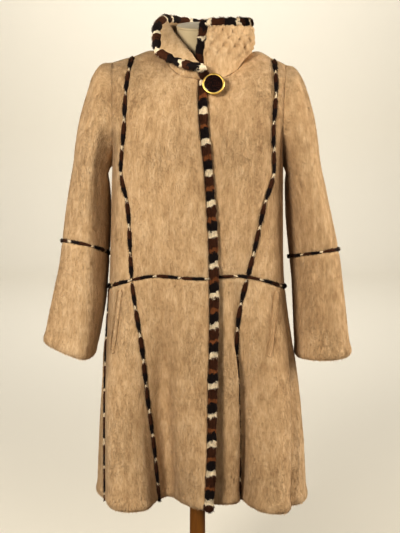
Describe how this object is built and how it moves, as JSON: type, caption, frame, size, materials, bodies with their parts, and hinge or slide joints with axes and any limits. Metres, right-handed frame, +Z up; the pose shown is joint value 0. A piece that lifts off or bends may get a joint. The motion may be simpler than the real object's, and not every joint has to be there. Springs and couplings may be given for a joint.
{
  "type": "faux fur coat on a limbless dress form with a stand",
  "caption": "Tan faux fur swing coat with dark braid trim, gathered stand collar and one round button, on a limbless dress form with a wooden stand.",
  "frame": {"origin": "middle of the stand's underside, on the floor", "axes": "+Z up, -Y towards the front of the coat, +X towards the wearer's left"},
  "size_m": [0.7181, 0.38, 1.5293],
  "materials": {
    "fur": "sheared pile",
    "braid": "woven",
    "gold": "polished",
    "enamel": "gloss",
    "form_cloth": "matte",
    "wood": "varnished"
  },
  "bodies": {
    "root": {"back_hip_braid": "braid", "back_lower": "fur", "back_upper": "fur", "base": "wood", "button_centre": "enamel", "button_rim_and_shank": "gold", "collar": "fur", "collar_braid": "braid", "form_torso_and_neck": "form_cloth", "front_edge_braid": "braid", "left_elbow_braid": "braid", "left_front_centre_lower": "fur", "left_front_centre_upper": "fur", "left_front_side_lower": "fur", "left_front_side_upper": "fur", "left_hip_braid": "braid", "left_pocket_welt": "fur", "left_princess_braid_lower": "braid", "left_princess_braid_upper": "braid", "left_side_braid": "braid", "left_sleeve_lower": "fur", "left_sleeve_upper": "fur", "neck_cap": "form_cloth", "pole": "wood", "right_elbow_braid": "braid", "right_front_centre_lower": "fur", "right_front_centre_upper": "fur", "right_front_side_lower": "fur", "right_front_side_upper": "fur", "right_hip_braid": "braid", "right_pocket_welt": "fur", "right_princess_braid_lower": "braid", "right_princess_braid_upper": "braid", "right_side_braid": "braid", "right_sleeve_lower": "fur", "right_sleeve_upper": "fur"}
  },
  "joints": []
}
